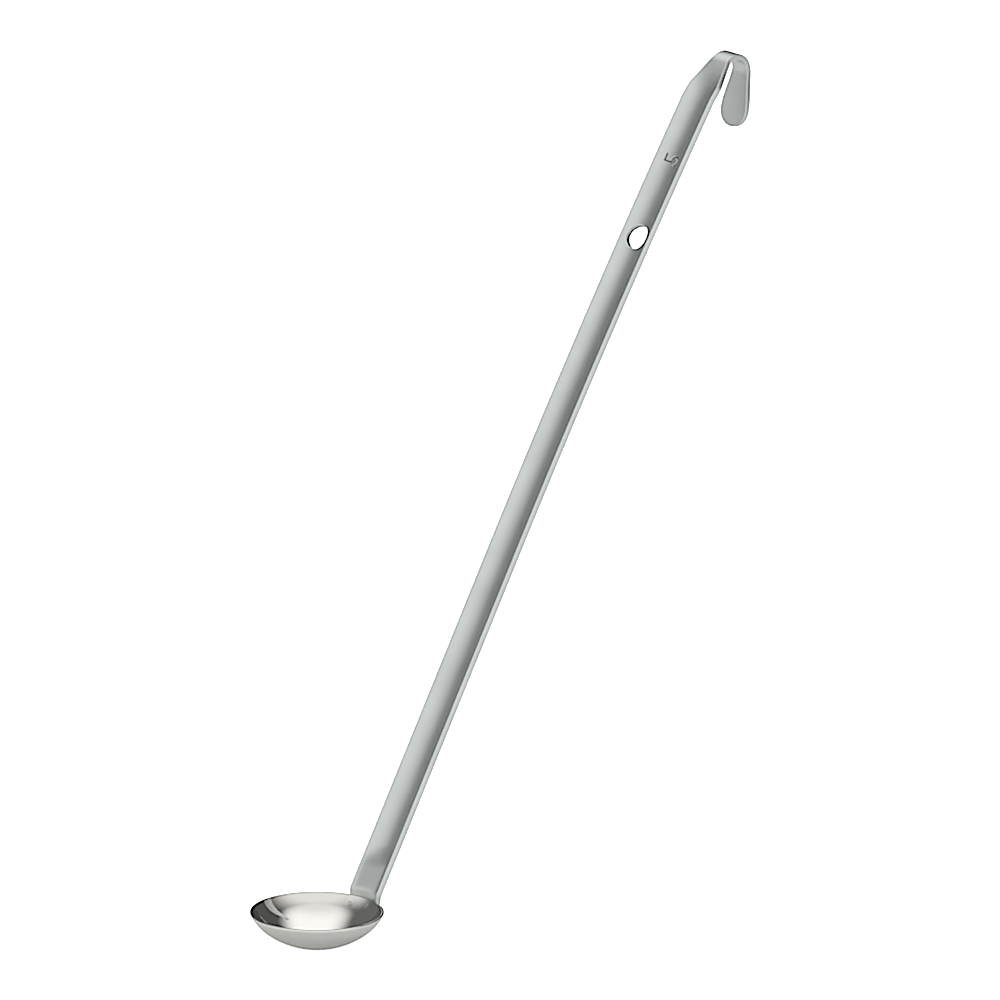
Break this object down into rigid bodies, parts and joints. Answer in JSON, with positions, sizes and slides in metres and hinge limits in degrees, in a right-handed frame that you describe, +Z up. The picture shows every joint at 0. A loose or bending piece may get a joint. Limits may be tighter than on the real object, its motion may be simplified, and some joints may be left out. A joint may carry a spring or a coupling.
{
  "type": "soup ladle",
  "caption": "Small long-handled steel ladle: a shallow round bowl spot-welded to a trough-shaped strip handle with a hanging hole and a bent hook end, for serving soup or sauce.",
  "frame": {"origin": "centre of the hanging hole, at the middle of the strip's thickness", "axes": "+Z up with the bowl level, the handle leans towards +X away from the bowl, +Y across the strip"},
  "size_m": [0.2506, 0.05, 0.3009],
  "materials": {
    "polished_steel": "mirror polished inside, satin outside",
    "satin_steel": "satin",
    "weld_steel": "ground flush"
  },
  "bodies": {
    "root": {"bowl": "polished_steel", "handle": "satin_steel", "weld_spots": "weld_steel"}
  },
  "joints": []
}
